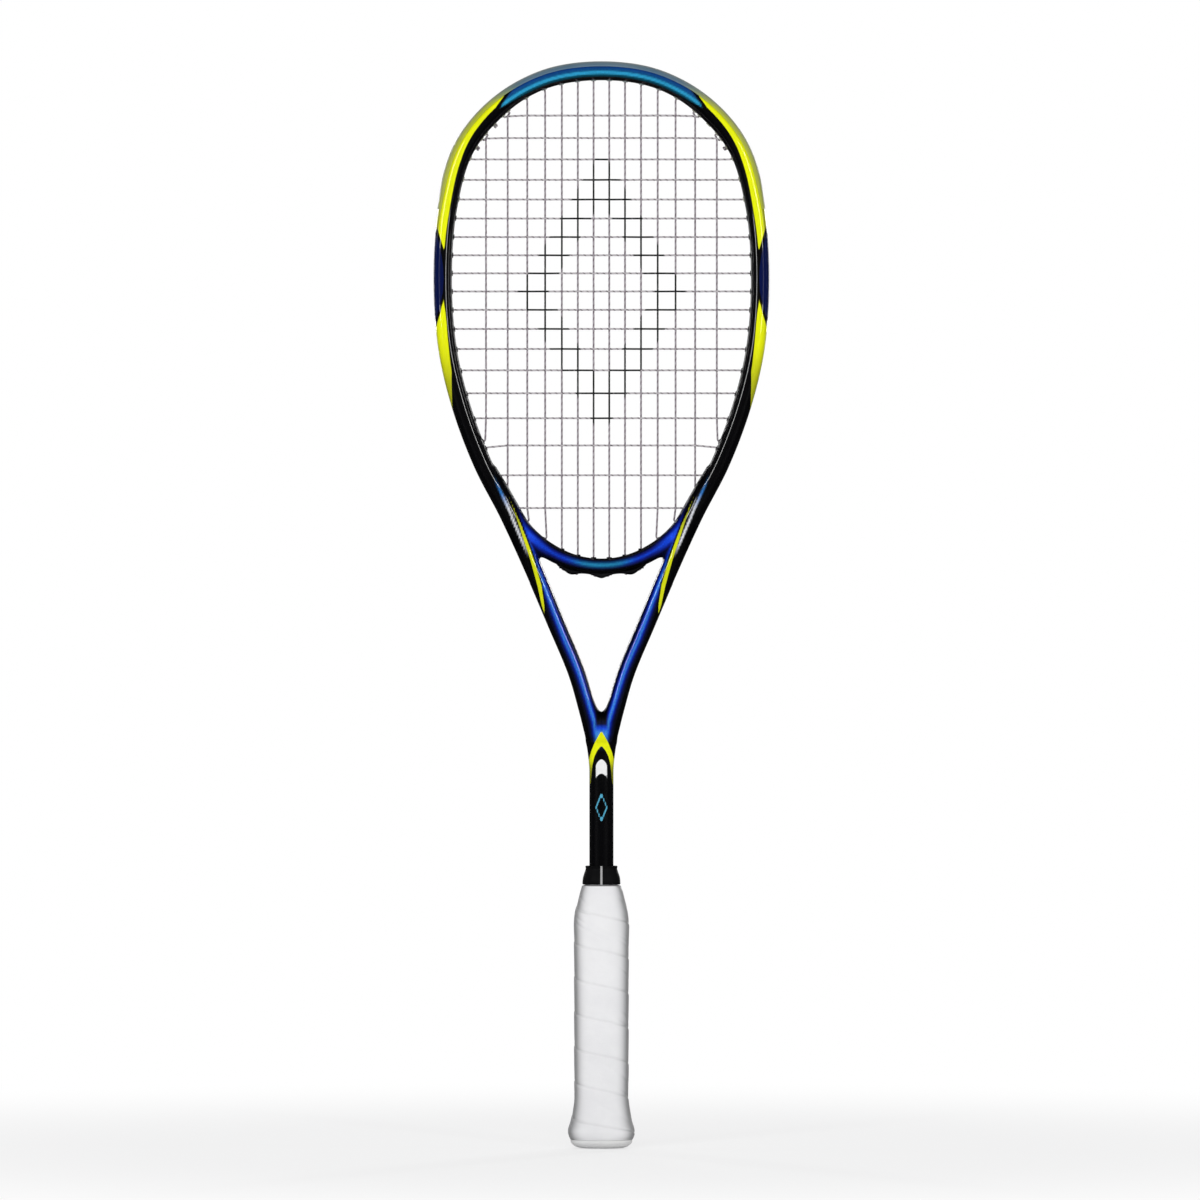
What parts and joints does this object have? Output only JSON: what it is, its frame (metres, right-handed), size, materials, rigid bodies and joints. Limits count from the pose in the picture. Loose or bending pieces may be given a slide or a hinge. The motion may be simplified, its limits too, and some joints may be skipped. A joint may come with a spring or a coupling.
{
  "type": "squash racket",
  "caption": "Squash racket with a teardrop head, woven strings, an open throat, a slim shaft and a wrapped white grip that flares at the butt.",
  "frame": {"origin": "centre of the flat face of the butt", "axes": "+Z from the butt along the handle to the crown of the head, +X across the head, the front of the string bed faces -Y"},
  "size_m": [0.2124, 0.0384, 0.686],
  "materials": {
    "frame_paint": "gloss",
    "bumper_clear": "satin",
    "grommet_black": "satin",
    "string": "satin",
    "pallet_foam": "matte",
    "cap_plastic": "matte",
    "grip_white": "matte",
    "tape": "satin",
    "collar_rubber": "satin"
  },
  "bodies": {
    "root": {"head_hoop": "frame_paint", "right_throat_arm": "frame_paint", "left_throat_arm": "frame_paint", "throat_bridge": "frame_paint", "shaft": "frame_paint", "head_bumper_strip": "bumper_clear", "right_grommet_strip": "grommet_black", "left_grommet_strip": "grommet_black", "throat_grommet_strip": "grommet_black", "main_string": "string", "cross_string": "string", "left_main_knot": "string", "right_main_knot": "string", "upper_cross_knot": "string", "lower_cross_knot": "string", "front_handle_pallet": "pallet_foam", "rear_handle_pallet": "pallet_foam", "butt_cap": "cap_plastic", "grip": "grip_white", "finishing_tape": "tape", "grip_collar": "collar_rubber"}
  },
  "joints": []
}
